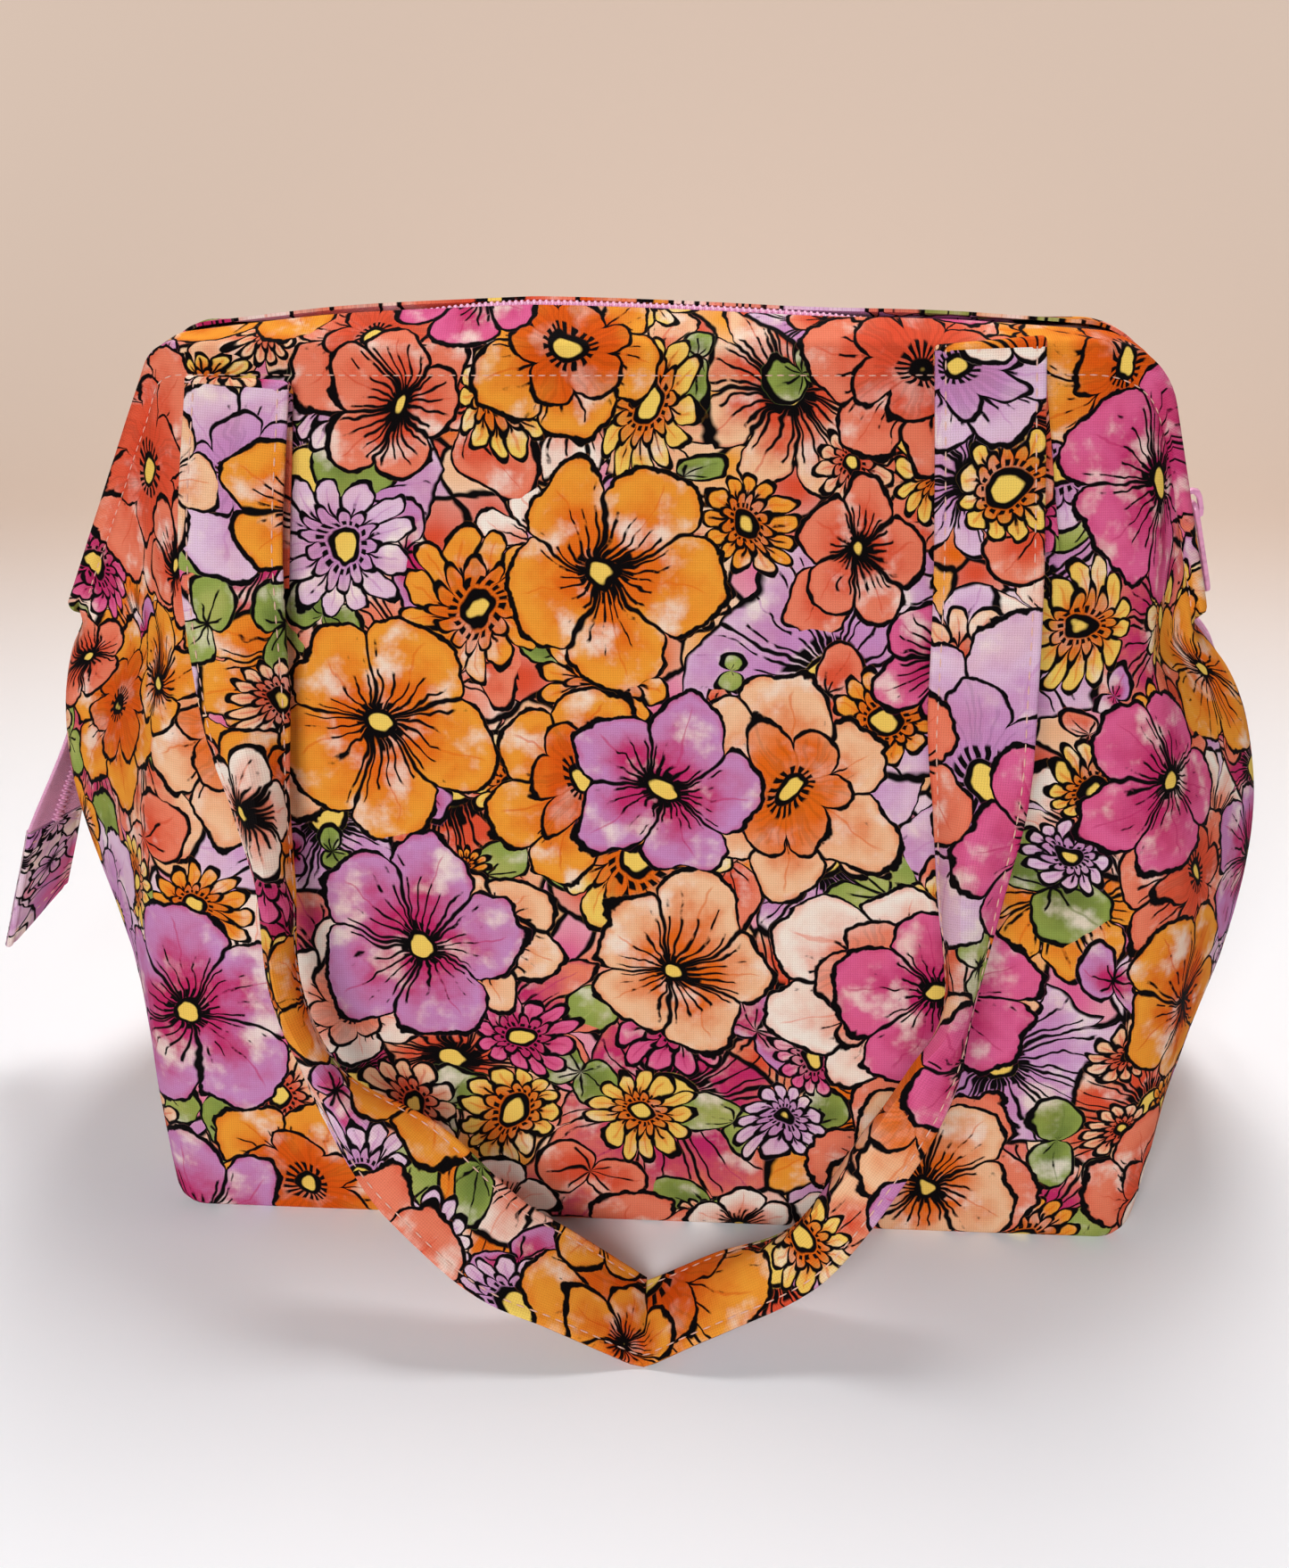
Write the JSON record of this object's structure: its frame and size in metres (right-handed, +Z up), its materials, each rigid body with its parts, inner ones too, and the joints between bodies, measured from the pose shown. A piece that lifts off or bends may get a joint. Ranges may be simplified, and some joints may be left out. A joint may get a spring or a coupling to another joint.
{
  "type": "zip-top knitting bag",
  "caption": "Boxy cloth knitting bag with wire-framed zip mouth, zip tails with cloth tabs, and soft strap handles that hang to the table.",
  "frame": {"origin": "on the table, at the middle of the bag's base", "axes": "+Z up, +X along the zip to the viewer's right, the front panel faces -Y"},
  "size_m": [0.3722, 0.2448, 0.2324],
  "materials": {
    "print_cloth": "plain-woven cotton canvas with a floral print",
    "foam_cloth": "soft white bag foam",
    "lining_cloth": "plain cotton",
    "steel_wire": "drawn wire",
    "zip_tape": "ribbed polyester tape",
    "zip_coil": "satin nylon",
    "pink_enamel": "gloss enamel"
  },
  "bodies": {
    "bag": {"outer_front": "print_cloth", "foam_front": "foam_cloth", "lining_front": "lining_cloth", "wire_frame_front": "steel_wire", "zip_tape_front": "zip_tape", "zip_coil_front": "zip_coil", "front_handle_left_end": "print_cloth", "front_handle_right_end": "print_cloth", "outer_back": "print_cloth", "foam_back": "foam_cloth", "lining_back": "lining_cloth", "wire_frame_back": "steel_wire", "zip_tape_back": "zip_tape", "zip_coil_back": "zip_coil", "back_handle_left_end": "print_cloth", "back_handle_right_end": "print_cloth"},
    "slider": {"slider_body": "pink_enamel"},
    "pull": {"slider_pull": "pink_enamel"},
    "front_handle": {"front_handle_loop": "print_cloth"},
    "back_handle": {"back_handle_loop": "print_cloth"},
    "left_tail": {"zip_tail_left": "zip_tape", "tab_left": "print_cloth"},
    "right_tail": {"zip_tail_right": "zip_tape", "tab_right": "print_cloth"}
  },
  "joints": [
    {"name": "slider_travel", "type": "slide", "parent": "bag", "child": "slider", "axis": [-0.2924, 0, 0.9563], "range_m": [-0.004, 0.022]},
    {"name": "pull_swing", "type": "hinge", "parent": "slider", "child": "pull", "pos_m": [0.13797, 0, 0.18086], "axis": [0, -1, 0], "range_deg": [0, 170]},
    {"name": "front_handle_swing", "type": "hinge", "parent": "bag", "child": "front_handle", "pos_m": [-0.0085, -0.02141, 0.2195], "axis": [-0.9989, -0.0138, -0.0451], "range_deg": [0, 155]},
    {"name": "back_handle_swing", "type": "hinge", "parent": "bag", "child": "back_handle", "pos_m": [-0.0085, 0.02141, 0.2195], "axis": [0.9989, -0.0138, 0.0451], "range_deg": [0, 155]},
    {"name": "left_tail_bend", "type": "hinge", "parent": "bag", "child": "left_tail", "pos_m": [-0.15866, 0, 0.14787], "axis": [0, 1, 0], "range_deg": [0, 45]},
    {"name": "right_tail_bend", "type": "hinge", "parent": "bag", "child": "right_tail", "pos_m": [0.14368, 0, 0.14935], "axis": [0, -1, 0], "range_deg": [0, 40]}
  ]
}
